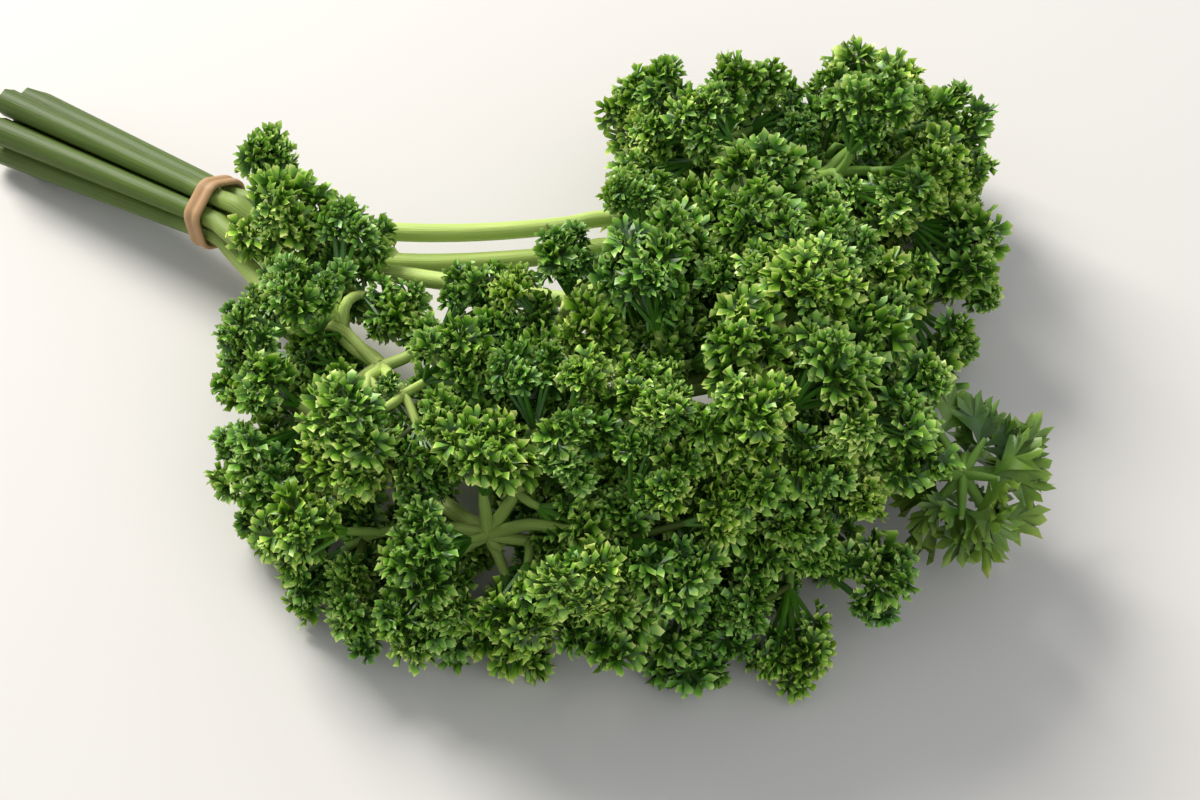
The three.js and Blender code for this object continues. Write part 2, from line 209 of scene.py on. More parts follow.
def smooth_way(points, spacing):
    """Evenly spaced points, about a spacing apart, on a smooth curve through the given ones."""
    p = np.array([2 * points[0] - points[1], *points, 2 * points[-1] - points[-2]])
    t = np.linspace(0, len(points) - 1, 201)
    k = np.minimum(t.astype(int), len(points) - 2)

    def at(t, k):
        w = (t - k)[:, None]
        a, b, c, d = p[k], p[k + 1], p[k + 2], p[k + 3]
        start, end = 0.5 * (c - a), 0.5 * (d - b)
        return (
            b + start * w + (-3 * b + 3 * c - 2 * start - end) * w**2
            + (2 * b - 2 * c + start + end) * w**3
        )

    line = at(t, k)
    lengths = np.concatenate([[0], np.cumsum(np.linalg.norm(np.diff(line, axis=0), axis=1))])
    count = half_up(lengths[-1] / spacing)
    even = np.interp(np.linspace(0, lengths[-1], count + 1), lengths, t)
    return at(even, np.minimum(even.astype(int), len(points) - 2))


# %% The stems in the bundle
bundle_along = unit(BAND_CENTRE - CUT_CENTRE)
bundle_across, bundle_up = axes_across(bundle_along)


def round_bundle(turn):
    """The way out of the bundle at an angle round it, in radians."""
    return bundle_across * math.cos(turn) + bundle_up * math.sin(turn)


def place_in_bundle(frond):
    """Where a stem stands in the bundle: one in the middle, six round it."""
    if frond["ring"] is None:
        return np.zeros(3)
    return (2 * STEM_RADIUS + STEM_GAP) * round_bundle(math.radians(frond["ring"]))


def outermost_stem(out):
    return max((place_in_bundle(f) for f in FRONDS), key=lambda place: place @ out)


# %% Beads and bonds
home, radius, owner, give, is_tuft, bonds = [], [], [], [], [], []


def add_bead(at, r, frond, g, tuft=False):
    home.append(np.array(at, float))
    radius.append(r)
    owner.append(frond)
    give.append(g)
    is_tuft.append(tuft)
    return len(home) - 1


def add_bond(a, b):
    bonds.append((a, b, np.linalg.norm(home[a] - home[b])))


def add_row(start, points, r, frond, g):
    row = [start]
    for at in points:
        row.append(add_bead(at, r, frond, g))
        add_bond(row[-2], row[-1])
    return row


# %% Branches and fronds
def add_tuft(start, way, stalk, r, frond):
    middle = add_bead(home[start] + way * 0.6 * stalk, STALK_BASE, frond, 1)
    tuft = add_bead(home[start] + way * (stalk + r), r, frond, 1, True)
    add_bond(start, middle)
    add_bond(middle, tuft)
    return start, middle, tuft


def add_branch(start, end, frond, index, draw):
    """A branch that arches over to its end point, with its side tufts and the tuft on its end."""
    here = home[start]
    span = np.array(end, float) - here
    reach = np.linalg.norm(span)
    r = frond["tuft"] * (0.95 + 0.15 * draw())
    tip = end - span * (r / reach)
    lifted = here + (tip - here) * 0.5
    lifted[2] += BRANCH_ARCH * reach

    def arc(t):
        return (1 - t) ** 2 * here + 2 * t * (1 - t) * lifted + t**2 * tip

    def tangent(t):
        return unit(arc(min(t + 0.0001, 1)) - arc(t - 0.0001))

    count = max(2, half_up(np.linalg.norm(tip - here) / BEAD))
    row = add_row(start, [arc(k / count) for k in range(1, count + 1)], BRANCH_BASE, index, 1)
    tufts = []
    side_tufts = half_up(reach / BRANCH_SPACING)
    for k in range(side_tufts):
        share = 0.8 - 0.4 * k / max(1, side_tufts - 1)
        place = min(2 * math.ceil(share * count / 2), 2 * math.floor((count - 1) / 2))
        along = tangent(share)
        across, over = axes_across(along)
        lean = math.radians(100 * (draw() - 0.4))
        side = -1 if k % 2 else 1
        way = unit(along * 0.5 + across * side * math.cos(lean) + over * math.sin(lean))
        stalk = STALK_LENGTH * (0.7 + 0.6 * draw())
        tufts.append(add_tuft(row[place], way, stalk, frond["tuft"] * (0.86 + 0.2 * draw()), index))
    last = add_bead(tip + tangent(1) * r, r, index, 1, True)
    add_bond(row[-1], last)
    return dict(row=row, last=last, tufts=tufts)


def add_frond(frond, index):
    draw = random_from(frond["seed"])
    place = place_in_bundle(frond)
    in_band = BAND_CENTRE + place
    out_of_band = in_band + bundle_along * BAND_WIDTH
    cut_end = CUT_CENTRE + place * BUNDLE_SPLAY + bundle_along * 5 * (draw() - 0.5)
    stem = [
        add_bead(cut_end, CUT_RADIUS, index, 0),
        add_bead(in_band, STEM_RADIUS, index, 0),
        add_bead(out_of_band, STEM_RADIUS, index, 0),
    ]
    way = smooth_way([in_band, out_of_band, *np.array(frond["way"], float)], BEAD)
    onward = [at for at in way if np.linalg.norm(at - in_band) > BAND_WIDTH + 1]
    row = add_row(stem[2], onward[:-1], STEM_RADIUS * 0.95, index, 0.25)
    row.append(add_bead(onward[-1], CROWN_RADIUS, index, 0.1))
    add_bond(row[-2], row[-1])
    branches = [
        add_branch(row[3 * half_up(share * len(row) / 3)], end, frond, index, draw)
        for share, end in frond["low"]
    ]
    branches += [add_branch(row[-1], end, frond, index, draw) for end in frond["ends"]]
    return dict(stem=stem[:2] + row, branches=branches)


for k in range(16):
    out = round_bundle(2 * math.pi * k / 16)
    beside = BAND_CENTRE + outermost_stem(out) + out * (STEM_RADIUS + STEM_GAP + 0.6)
    add_bead(beside, BAND_WIDTH / 2, -1, 0)
grown = [add_frond(frond, index) for index, frond in enumerate(FRONDS)]
print(len(home), "beads,", sum(is_tuft), "of them tufts")

# %% [markdown]
# ## Letting them settle
# Seven fronds drawn one by one would run through each other. So the beads are relaxed: beads of
# different fronds push each other apart, bonds keep their length, nothing sinks into the surface,
# and each bead is drawn back a little to where it grew. A soft body simulation would do this too,
# but slowly, and hardly the same way twice.

# %% Settle the beads
home = np.array(home)
radius, give, owner = np.array(radius), np.array(give, float), np.array(owner)
is_tuft = np.array(is_tuft)
at = home.copy()
first, second = np.triu_indices(len(home), 1)
strangers = owner[first] != owner[second]
any_tuft = is_tuft[first] | is_tuft[second]
room = radius[first] + radius[second] + np.where(strangers, np.where(any_tuft, GAP, GAP + 1), 0)
apart = any_tuft & (np.linalg.norm(home[first] - home[second], axis=1) > 0.9 * room)
meets = (give[first] + give[second] > 0) & (strangers | (is_tuft[first] & is_tuft[second]) | apart)
near = np.linalg.norm(home[first] - home[second], axis=1) < room + 40
first, second, room = first[meets & near], second[meets & near], room[meets & near]
bond_a, bond_b = np.array([b[:2] for b in bonds]).T
length = np.array([b[2] for b in bonds])
loose = give[bond_a] + give[bond_b] > 0
bond_a, bond_b, length = bond_a[loose], bond_b[loose], length[loose]

for step in range(ROUNDS):
    gap = at[first] - at[second]
    distance = np.linalg.norm(gap, axis=1)
    hit = (distance < room) & (distance > 1e-6)
    a = np.concatenate([first[hit], bond_a])
    b = np.concatenate([second[hit], bond_b])
    bond_gap = at[bond_a] - at[bond_b]
    bond_now = np.linalg.norm(bond_gap, axis=1)
    push = np.concatenate([
        gap[hit] * ((room[hit] - distance[hit]) / distance[hit])[:, None],
        bond_gap * ((length - bond_now) / bond_now)[:, None],
    ])
    whole = give[a] + give[b]
    move = np.zeros_like(at)
    np.add.at(move, a, push * (give[a] / whole)[:, None])
    np.add.at(move, b, -push * (give[b] / whole)[:, None])
    met = np.bincount(a, minlength=len(at)) + np.bincount(b, minlength=len(at))
    free = give > 0
    at += np.where((met > 0)[:, None], move / np.sqrt(np.maximum(met, 1))[:, None], 0)
    pull = HOME * (1 - step / ROUNDS)
    at[free] += (home[free] - at[free]) * pull
    at[free, 2] = np.maximum(at[free, 2], radius[free] * FLOOR)
print("moved by up to", round(np.linalg.norm(at - home, axis=1).max(), 1), "mm")


# %% [markdown]
# The solids were grown in the photograph's frame and then moved so that the origin is under the
# middle of the bunch. The band didn't move while the fronds settled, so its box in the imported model
# tells how far that was.

# %% Move into the model's frame
def band_line(sides, rise):
    """Points of a line round the stems, that far above their outline."""
    line = []
    for k in range(sides):
        out = round_bundle(2 * math.pi * k / sides)
        line.append(BAND_CENTRE + outermost_stem(out) + out * (STEM_RADIUS + STEM_GAP + rise))
    return np.array(line)


half = bundle_along * BAND_WIDTH / 2
shoulders = band_line(BAND_SIDES, 0.75 * BAND_THICKNESS)
crests = band_line(BAND_SIDES, BAND_THICKNESS)
ring = np.concatenate([shoulders - half, shoulders + half, crests - 0.55 * half, crests + 0.55 * half])
band_box = 1000 * np.array(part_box("rubber_band"))
shift = band_box.mean(axis=0) - (ring.min(axis=0) + ring.max(axis=0)) / 2
print("shift in mm", shift.round(2))
print("band size differs by", (np.ptp(band_box, axis=0) - np.ptp(ring, axis=0)).round(3))


def in_frame(points):
    """Millimetres where the plant grew to metres in the model's frame."""
    return (np.asarray(points) + shift) / 1000


# %% [markdown]
# ## Small helpers for node trees
# Geometry Nodes trees and materials are built in the script, so that the whole piece can be read in
# one place. A tree's sizes are named inputs of its group, which a modifier can then set. Most
# helpers return the socket that the next node links from, so that a tree reads like a sum.

# %% Helpers for every node tree
def add_node(tree, kind, inputs=None, **settings):
    """A node with its settings, and its inputs given as values or as sockets to link from."""
    node = tree.nodes.new(kind)
    for key, value in settings.items():
        setattr(node, key, value)
    for key, value in (inputs or {}).items():
        if isinstance(value, bpy.types.NodeSocket):
            tree.links.new(value, node.inputs[key])
        else:
            node.inputs[key].default_value = value
    return node


def calculate(tree, operation, *values):
    return add_node(tree, "ShaderNodeMath", dict(enumerate(values)), operation=operation).outputs[0]


def plus(tree, a, b):
    return calculate(tree, "ADD", a, b)


def minus(tree, a, b):
    return calculate(tree, "SUBTRACT", a, b)


def times(tree, a, b):
    return calculate(tree, "MULTIPLY", a, b)


def combine(tree, x=0.0, y=0.0, z=0.0):
    return add_node(tree, "ShaderNodeCombineXYZ", {"X": x, "Y": y, "Z": z}).outputs[0]


def vector(tree, operation, a, b=None, scale=None):
    inputs = {0: a, 1: b, "Scale": scale}
    inputs = {key: value for key, value in inputs.items() if value is not None}
    node = add_node(tree, "ShaderNodeVectorMath", inputs, operation=operation)
    return node.outputs["Value" if operation == "LENGTH" else "Vector"]


# %% Helpers for geometry nodes
def new_tree(name, inputs):
    """A geometry node tree with these named inputs: {name: (socket type, default)}."""
    tree = bpy.data.node_groups.new(name, "GeometryNodeTree")
    tree.interface.new_socket("Geometry", in_out="OUTPUT", socket_type="NodeSocketGeometry")
    tree.interface.new_socket("Geometry", in_out="INPUT", socket_type="NodeSocketGeometry")
    for label, (kind, default) in inputs.items():
        socket = tree.interface.new_socket(label, in_out="INPUT", socket_type="NodeSocket" + kind)
        if default is not None:
            socket.default_value = default
    return tree, tree.nodes.new("NodeGroupInput").outputs


def geometry_node(tree, kind, inputs=None, **settings):
    return add_node(tree, "GeometryNode" + kind, inputs, **settings).outputs[0]


def attribute(tree, name, kind="FLOAT"):
    return geometry_node(tree, "InputNamedAttribute", {"Name": name}, data_type=kind)


def store(tree, geometry, name, value, domain="POINT"):
    inputs = {"Geometry": geometry, "Name": name, "Value": value}
    return geometry_node(tree, "StoreNamedAttribute", inputs, data_type="FLOAT", domain=domain)


def finish_tree(tree, given, geometry):
    """Ends a tree: the geometry is made real and gets the material that the tree was given."""
    real = geometry_node(tree, "RealizeInstances", {"Geometry": geometry})
    painted = geometry_node(tree, "SetMaterial", {"Geometry": real, "Material": given["Material"]})
    tree.links.new(painted, tree.nodes.new("NodeGroupOutput").inputs[0])
    return tree


def add_object(name, data):
    made = bpy.data.objects.new(name, data)
    bpy.context.scene.collection.objects.link(made)
    return made


def grow(tree, name, mesh, values):
    """A plain mesh object made by running a tree over a mesh with these input values."""
    source = add_object(name + "_source", mesh)
    modifier = source.modifiers.new("grow", "NODES")
    modifier.node_group = tree
    sockets = {item.name: item.identifier for item in tree.interface.items_tree if item.in_out == "INPUT"}
    for label, value in values.items():
        modifier[sockets[label]] = value
    graph = bpy.context.evaluated_depsgraph_get()
    made = bpy.data.meshes.new_from_object(source.evaluated_get(graph), depsgraph=graph)
    made.name = name
    piece = add_object(name, made)
    source.modifiers.remove(modifier)
    bpy.data.objects.remove(source)
    return piece


def new_mesh(name, points, edges=(), faces=()):
    mesh = bpy.data.meshes.new(name)
    mesh.from_pydata(points, edges, faces)
    return mesh


def set_values(mesh, name, values, kind="FLOAT"):
    """Stores a value for each point of a mesh."""
    field = "vector" if kind == "FLOAT_VECTOR" else "value"
    mesh.attributes.new(name, kind, "POINT").data.foreach_set(field, values)


def triangles(piece):
    return sum(len(p.vertices) - 2 for p in piece.data.polygons)


# %% Helpers for materials
def new_material(name):
    material = bpy.data.materials.new(name)
    material.use_nodes = True
    return material, material.node_tree, material.node_tree.nodes["Principled BSDF"]


def set_shader(shader, values):
    """Sets constants on the shader's own sockets."""
    for name, value in values.items():
        shader.inputs[name].default_value = value


def shader_attribute(tree, name):
    return add_node(tree, "ShaderNodeAttribute", attribute_name=name).outputs["Fac"]


def ramp(tree, factor, stops):
    """A colour ramp with (place, colour) stops."""
    node = add_node(tree, "ShaderNodeValToRGB", {"Fac": factor})
    elements = node.color_ramp.elements
    while len(elements) < len(stops):
        elements.new(0.5)
    for element, (place, colour) in zip(elements, stops):
        element.position = place
        element.color = (*colour, 1)
    return node.outputs["Color"]


def noise(tree, place, scale, detail=2.0):
    inputs = {"Vector": place, "Scale": scale, "Detail": detail}
    return add_node(tree, "ShaderNodeTexNoise", inputs).outputs["Fac"]


def object_noise(tree, scale, detail=2.0):
    """Noise over the object's own coordinates."""
    return noise(tree, add_node(tree, "ShaderNodeTexCoord").outputs["Object"], scale, detail)


def mix(tree, factor, a, b, blend="MIX"):
    inputs = {0: factor, 6: a, 7: b}
    return add_node(tree, "ShaderNodeMix", inputs, data_type="RGBA", blend_type=blend).outputs[2]


def dent(tree, shader, height, strength, distance):
    """Makes the surface look as uneven as a height says."""
    inputs = {"Height": height, "Strength": strength, "Distance": distance}
    tree.links.new(add_node(tree, "ShaderNodeBump", inputs).outputs[0], shader.inputs["Normal"])


# %% [markdown]
# ## The green of the leaves
# A parsley leaf is thin and juicy: light passes through it, the top has a waxy half gloss, and the
# curled tips are paler and more yellow than the folds behind them. The colour runs along an
# attribute, tip, which is 0 where a blade leaves its stalk and 1 at its teeth. Near 0.2 the ramp is
# painted very dark, as painted shade deep in the folds, and the teeth are painted brighter and bluer
# than their own paler green, as a painted highlight. Three more tones are multiplied in: shade
# differs from tuft to tuft, light from rosette to rosette, and young is 1 in the open leaves only,
# which are a duller green.

# %% Leaf material
WHITE = (1.0, 1.0, 1.0)
LEAF_TONES = {
    "shade": [(0.0, (0.70, 0.80, 0.75)), (0.5, WHITE), (1.0, (1.25, 1.12, 1.0))],
    "light": [(0.0, (0.75, 0.85, 0.85)), (0.5, WHITE), (1.0, (1.3, 1.15, 1.1))],
    "young": [(0.0, WHITE), (1.0, (1.3, 0.88, 1.15))],
}
leaf_green, tree, shader = new_material("leaf_green")
patches = times(tree, minus(tree, object_noise(tree, 110.0, 3.0), 0.5), 0.5)
# The dark stop at 0.20 is painted shade in the folds; the stops at 0.82 and 1.0 are the paler tips with a
# painted highlight on them.
colour = ramp(tree, plus(tree, shader_attribute(tree, "tip"), patches), [
    (0.0, (0.080, 0.180, 0.024)),
    (0.20, (0.016, 0.058, 0.005)),
    (0.55, (0.046, 0.165, 0.008)),
    (0.82, (0.200, 0.460, 0.040)),
    (1.0, (0.680, 0.880, 0.240)),
])
for name, stops in LEAF_TONES.items():
    colour = mix(tree, 1.0, colour, ramp(tree, shader_attribute(tree, name), stops), "MULTIPLY")
tree.links.new(colour, shader.inputs["Base Color"])
dent(tree, shader, object_noise(tree, 1400.0), 0.25, 0.0002)
set_shader(shader, {
    "Roughness": 0.40,
    "Specular IOR Level": 0.5,
    "Subsurface Weight": 0.15,
    "Subsurface Radius": (0.7, 1.0, 0.2),
    "Subsurface Scale": 0.0006,
})
print("leaf material has", len(tree.nodes), "nodes")

# %% [markdown]
# ## The green of the stems
# Stems are ribbed along their length and smooth across. They are dark where they are cut, pale past
# the band, and a mid green again in the branches. The attribute along holds the distance from the
# cut end in metres and the attribute around the place round the stem, so the fine streaks follow
# the stem wherever it bends. A cut face is paler and dull, which the attribute cap marks.

# %% Stem material
STREAKS = 60.0
stem_green, tree, shader = new_material("stem_green")
along = shader_attribute(tree, "along")
around = shader_attribute(tree, "around")
body = ramp(tree, times(tree, along, 4.0), [
    (0.0, (0.062, 0.104, 0.012)),
    (0.22, (0.085, 0.145, 0.018)),
    (0.36, (0.500, 0.650, 0.170)),
    (0.60, (0.510, 0.660, 0.175)),
    (0.85, (0.160, 0.310, 0.045)),
])
streaks = noise(tree, combine(tree, times(tree, around, STREAKS), times(tree, along, STREAKS)), 1.0)
streak_tone = ramp(tree, streaks, [(0.3, (0.72, 0.80, 0.70)), (0.7, (1.25, 1.16, 1.2))])
pith = ramp(tree, object_noise(tree, 900.0), [(0.35, (0.22, 0.34, 0.10)), (0.65, (0.42, 0.52, 0.25))])
colour = mix(tree, 1.0, body, streak_tone, "MULTIPLY")
colour = mix(tree, shader_attribute(tree, "cap"), colour, pith)
tree.links.new(colour, shader.inputs["Base Color"])
dent(tree, shader, streaks, 0.3, 0.0003)
set_shader(shader, {
    "Roughness": 0.50,
    "Specular IOR Level": 0.3,
    "Subsurface Weight": 0.2,
    "Subsurface Radius": (0.6, 1.0, 0.3),
    "Subsurface Scale": 0.0015,
})
print("stem material has", len(tree.nodes), "nodes")

# %% [markdown]
# ## Small tufts for the gaps
# Between its big tufts a real bunch is closed by small leaflets, so that hardly any light gets
# through it. The solids leave these out. They are found by a search: a spot that has room for one
# and tufts on most of its sides gets a small tuft, which hangs on the nearest branch or stem. Spots
# above the forks of a stem stay free, because stalks show there, and so do those by the open
# leaves. Tufts strewn at random would sink into the big ones.

# %% Where a small tuft fits
GRID_STEP = 2.5
LEAST_CLEAR, LEAST_APART, LEAST_ROUND, MOST_GAPS = 1.2, 6.0, 3, 210
STALK_CLEAR = 0.3
LOW = 16
REACH, LEAN = 13.0, 0.62
LOW_REACH, LOW_LEAN = 16.0, 0.76


def room_for(tuft):
    """The radius that a tuft can have between its neighbours."""
    other = np.arange(len(at)) != tuft
    other &= (owner != owner[tuft]) | is_tuft
    distance = np.linalg.norm(at - at[tuft], axis=1) - np.where(owner == owner[tuft], 0, GAP)
    share = radius[tuft] / (radius[tuft] + radius)
    room = np.where(is_tuft, distance * share, distance - radius - STALK_CLEAR)
    return min(radius[tuft], room[other].min())


def find_gaps():
    """Spots among the tufts but clear of them, the widest gaps first: (spot, clearance)."""
    tufts = np.flatnonzero(is_tuft)
    rooms = np.array([room_for(tuft) for tuft in tufts])
    spans = zip(at[tufts].min(axis=0), at[tufts].max(axis=0))
    grid = np.meshgrid(*[np.arange(low, high, GRID_STEP) for low, high in spans], indexing="ij")
    found = []
    for spot in np.stack(grid, axis=-1).reshape(-1, 3):
        reach, most_lean = (LOW_REACH, LOW_LEAN) if spot[2] < LOW else (REACH, LEAN)
        away = at[tufts] - spot
        distance = np.linalg.norm(away, axis=1)
        clear = (distance - rooms).min()
        close = distance < reach
        if clear < LEAST_CLEAR or close.sum() < LEAST_ROUND:
            continue
        if np.linalg.norm((away[close] / distance[close, None]).mean(axis=0)) < most_lean:
            found.append((clear, spot))
    found.sort(key=lambda gap: -gap[0])
    gaps = []
    for clear, spot in found:
        if all(np.linalg.norm(spot - other) > LEAST_APART for other, _ in gaps):
            gaps.append((spot, clear))
    return gaps[:MOST_GAPS]


# %% Which branch bears it
FORK_BEADS, FORK_REACH, FORK_DEPTH, YOUNG_REACH = 5, 7.5, 2, 14
TIED_BEADS = 8
NEAREST_HOLD, FURTHEST_HOLD = 2.5, 16
SMALL_BALL, SMALL_OVERLAP = 5.2, 2.6


def tie_gaps(gaps):
    """For each frond, the small tufts that it bears: (bead that each hangs on, middle, size)."""
    branches = [(index, branch) for index, plant in enumerate(grown) for branch in plant["branches"]]
    forks = at[[bead for _, branch in branches for bead in branch["row"][:FORK_BEADS]]]
    young = at[[branch["last"] for branch in grown[-1]["branches"][len(FRONDS[-1]["low"]):]]]
    beads = [(index, bead) for index, branch in branches for bead in branch["row"]]
    beads += [(index, bead) for index, plant in enumerate(grown) for bead in plant["stem"][TIED_BEADS:]]
    places = at[[bead for _, bead in beads]]
    bearing = [[] for _ in FRONDS]
    for spot, clear in gaps:
        over = np.linalg.norm((forks - spot)[:, :2], axis=1) < FORK_REACH
        by_young = np.linalg.norm(young - spot, axis=1) < YOUNG_REACH
        if (over & (forks[:, 2] < spot[2] + FORK_DEPTH)).any() or by_young.any():
            continue
        distance = np.linalg.norm(places - spot, axis=1)
        nearest = int(np.argmin(distance))
        if NEAREST_HOLD < distance[nearest] < FURTHEST_HOLD:
            index, bead = beads[nearest]
            bearing[index].append((bead, spot, min(SMALL_BALL, clear + SMALL_OVERLAP)))
    return bearing


fillers = tie_gaps(find_gaps())
print("small tufts in gaps", [len(some) for some in fillers])

# %% [markdown]
# ## Stems, branches and stalks
# What follows a path is best made as a curve with a section swept along it. Every row of beads
# becomes a polyline that carries its thickness, and one tree turns all the polylines of a frond
# into ribbed tubes. A plain bevelled curve would do for the tube, but not for ribs that stay in
# line and for the attributes that the material needs.

# %% The tree that makes a ribbed stalk
tree, given = new_tree("ribbed_stalk", {
    "Step": ("Float", 0.0015),
    "Ribs": ("Int", 7),
    "Rib depth": ("Float", 0.06),
    "Sides": ("Int", 14),
    "Material": ("Material", None),
})
line = geometry_node(tree, "MeshToCurve", {"Mesh": given["Geometry"]})
line = geometry_node(tree, "CurveSplineType", {"Curve": line}, spline_type="CATMULL_ROM")
line = geometry_node(tree, "ResampleCurve", {"Curve": line, "Length": given["Step"]}, mode="LENGTH")
sides = {"Resolution": given["Sides"], "Radius": 1.0}
circle = geometry_node(tree, "CurvePrimitiveCircle", sides, mode="RADIUS")
share = add_node(tree, "GeometryNodeSplineParameter").outputs["Factor"]
rib = calculate(tree, "COSINE", times(tree, times(tree, share, 2 * math.pi), given["Ribs"]))
swell = plus(tree, times(tree, rib, given["Rib depth"]), 1.0)
ribbed = vector(tree, "SCALE", geometry_node(tree, "InputPosition"), scale=swell)
section = geometry_node(tree, "SetPosition", {"Geometry": circle, "Position": ribbed})
tube = geometry_node(tree, "CurveToMesh", {
    "Curve": line,
    "Profile Curve": store(tree, section, "around", share),
    "Scale": attribute(tree, "thick"),
    "Fill Caps": True,
})
corners = {2: geometry_node(tree, "InputMeshFaceNeighbors"), 3: 4}
compare = add_node(tree, "FunctionNodeCompare", corners, data_type="INT", operation="GREATER_THAN")
is_cap = compare.outputs[0]
is_side = add_node(tree, "FunctionNodeBooleanMath", {0: is_cap}, operation="NOT").outputs[0]
capped = store(tree, tube, "cap", is_cap, domain="FACE")
smooth = geometry_node(tree, "SetShadeSmooth", {"Geometry": capped, "Shade Smooth": is_side})
stalk_tree = finish_tree(tree, given, smooth)
print("stalk tree has", len(tree.nodes), "nodes")


# %% Where each stalk runs
BRANCH_ROOT, STALK_ROOT, SMALL_ROOT = 2.5, 2, 1
SMALL_STALK = [STALK_TIP, 0.6, 0.45]
DARK_START = 0.2


def lengths_along(points):
    """The distance of each point from the first one, along the line."""
    return np.concatenate([[0], np.cumsum(np.linalg.norm(np.diff(points, axis=0), axis=1))])


def frond_lines(index):
    """Polylines of one frond in metres: (points, thickness, distance from the cut end).

    Each runs on a little into its tuft. The thin ones to small tufts are as dark as the cut ends.
    """
    stem = grown[index]["stem"]
    points = [at[stem[0]], at[stem[1]] - bundle_along * BAND_WIDTH, *at[stem[1:]]]
    taper = np.linspace(STEM_RADIUS, CROWN_RADIUS * 0.85, len(points) - 1)
    rows = [(points, [CUT_RADIUS, *taper], 0.0)]
    stem_reach = dict(zip(stem, lengths_along(at[stem])))
    for branch in grown[index]["branches"]:
        row = branch["row"]
        from_cut = stem_reach[row[0]]
        away = unit(at[branch["last"]] - at[row[-1]])
        points = [*at[row], at[row[-1]] + away * BRANCH_ROOT]
        rows.append((points, np.linspace(BRANCH_BASE, BRANCH_TIP * 0.8, len(points)), from_cut))
        for start, middle, tuft in branch["tufts"]:
            away = unit(at[tuft] - at[middle])
            root = at[tuft] - away * room_for(tuft)
            points = [at[start], at[middle], root, root + away * STALK_ROOT]
            from_row = np.linalg.norm(at[start] - at[row[0]])
            rows.append((points, [STALK_BASE, STALK_BASE, STALK_TIP, 0.5], from_cut + from_row))
    for bead, spot, ball in fillers[index]:
        away = unit(spot - at[bead])
        root = spot - away * ball
        if np.linalg.norm(spot - at[bead]) > ball + SMALL_ROOT:
            rows.append(([at[bead], root, root + away * SMALL_ROOT], SMALL_STALK, DARK_START))
    return [(in_frame(points), np.array(thick) / 1000, start / 1000) for points, thick, start in rows]


def line_mesh(name, lines):
    """A mesh of polylines whose points carry their thickness and their distance from the cut."""
    edges, count = [], 0
    for line, _, _ in lines:
        edges += [(count + k, count + k + 1) for k in range(len(line) - 1)]
        count += len(line)
    mesh = new_mesh(name, np.concatenate([line for line, _, _ in lines]).tolist(), edges)
    set_values(mesh, "thick", np.concatenate([thick for _, thick, _ in lines]))
    set_values(mesh, "along", np.concatenate([start + lengths_along(line) for line, _, start in lines]))
    return mesh


# %% Make the stalks of every frond
stalks = []
for index, frond in enumerate(FRONDS):
    lines = line_mesh(frond["name"] + "_lines", frond_lines(index))
    piece = grow(stalk_tree, frond["name"].replace("frond", "stalks"), lines, {"Material": stem_green})
    stalks.append(piece)
    print(piece.name, triangles(piece), "triangles")

# %% [markdown]
# ## One curl
# The margin of a curly leaf is many times longer than its base, so it has nowhere to go but into
# curls: small cupped lobes with pointed tips. A curl is the shape that is repeated thousands of
# times, so it has only a few dozen triangles. It is laid out flat first, like paper to be cut: a
# narrow neck, and a fan of lobes round a hub. Then it is bent back along its length, cupped across
# it and ruffled. It is a closed blade whose front and back share one sharp rim and have a hub each,
# a little apart. A few curls that differ are enough, since every copy is turned its own way.

# %% A curl laid flat
HEART = 0.38


def flat_curl(lobes, fan, notch, shoulder):
    """The rim of a curl 1 long, in order: (sideways, forwards, tip, lift) for every point."""

    def around(place, reach, tip, lift):
        angle = fan * place / lobes
        return (reach * math.sin(angle), HEART + reach * math.cos(angle), tip, lift)

    rim = [(0.0, 0.0, 0.0, 0.0), (0.07, 0.28, 0.1, 0.0)]
    for k in range(lobes):
        place = lobes / 2 - k - 0.5
        size = 1 - 0.10 * abs(place)
        lift = 0.10 if k % 2 else -0.10
        rim.append(around(place + 0.5, notch, 0.35, 0.06))
        rim.append(around(place + shoulder, 0.50 * size, 0.85, lift - 0.07))
        rim.append(around(place, 0.63 * size, 1.0, lift))
        rim.append(around(place - shoulder, 0.50 * size, 0.85, lift - 0.07))
    return rim + [around(-lobes / 2, notch, 0.35, 0.06), (-0.07, 0.28, 0.1, 0.0)]


# %% A curl bent and closed
def curl_mesh(name, outline, length, bend, cup, ruffle, tones, draw):
    """A closed curl that runs from the origin along +Z and bends back towards +Y."""
    rim = flat_curl(**outline)
    steps = np.linspace(0, 1.2, 61)
    stride = 0.02
    turns = bend * steps**2
    forwards = np.concatenate([[0], np.cumsum(np.cos(turns[:-1]))]) * stride
    backwards = np.concatenate([[0], np.cumsum(np.sin(turns[:-1]))]) * stride

    def place(u, v, lift):
        turn = np.interp(v, steps, turns)
        lift = lift + cup * u * u
        y = np.interp(v, steps, backwards) + lift * math.cos(turn)
        z = np.interp(v, steps, forwards) - lift * math.sin(turn)
        return tuple(np.array([u, y, z]) * length / 1000)

    points, tips = [], []
    for u, v, tip, lift in rim:
        stray = 0.11 * (draw() - 0.5) * (tip > 0.5)
        aside, onward = 0.05 * (draw() - 0.5) * tip, 0.08 * (draw() - 0.5) * tip
        points.append(place(u + aside, v + onward, ruffle * lift + stray))
        tips.append(tip)
    for side in (0.030, -0.030):
        points.append(place(0.0, HEART + 0.10, side - 0.03))
        tips.append(0.35)
    count = len(rim)
    around_hub = [(k, (k + 1) % count) for k in range(count)]
    front = [(b, a, count) for a, b in around_hub]
    back = [(a, b, count + 1) for a, b in around_hub]
    mesh = new_mesh(name, points, faces=front + back)
    set_values(mesh, "tip", tones[0] + (tones[1] - tones[0]) * np.array(tips))
    mesh.shade_smooth()
    for edge in mesh.edges:
        edge.use_edge_sharp = max(edge.vertices) < count
    return mesh


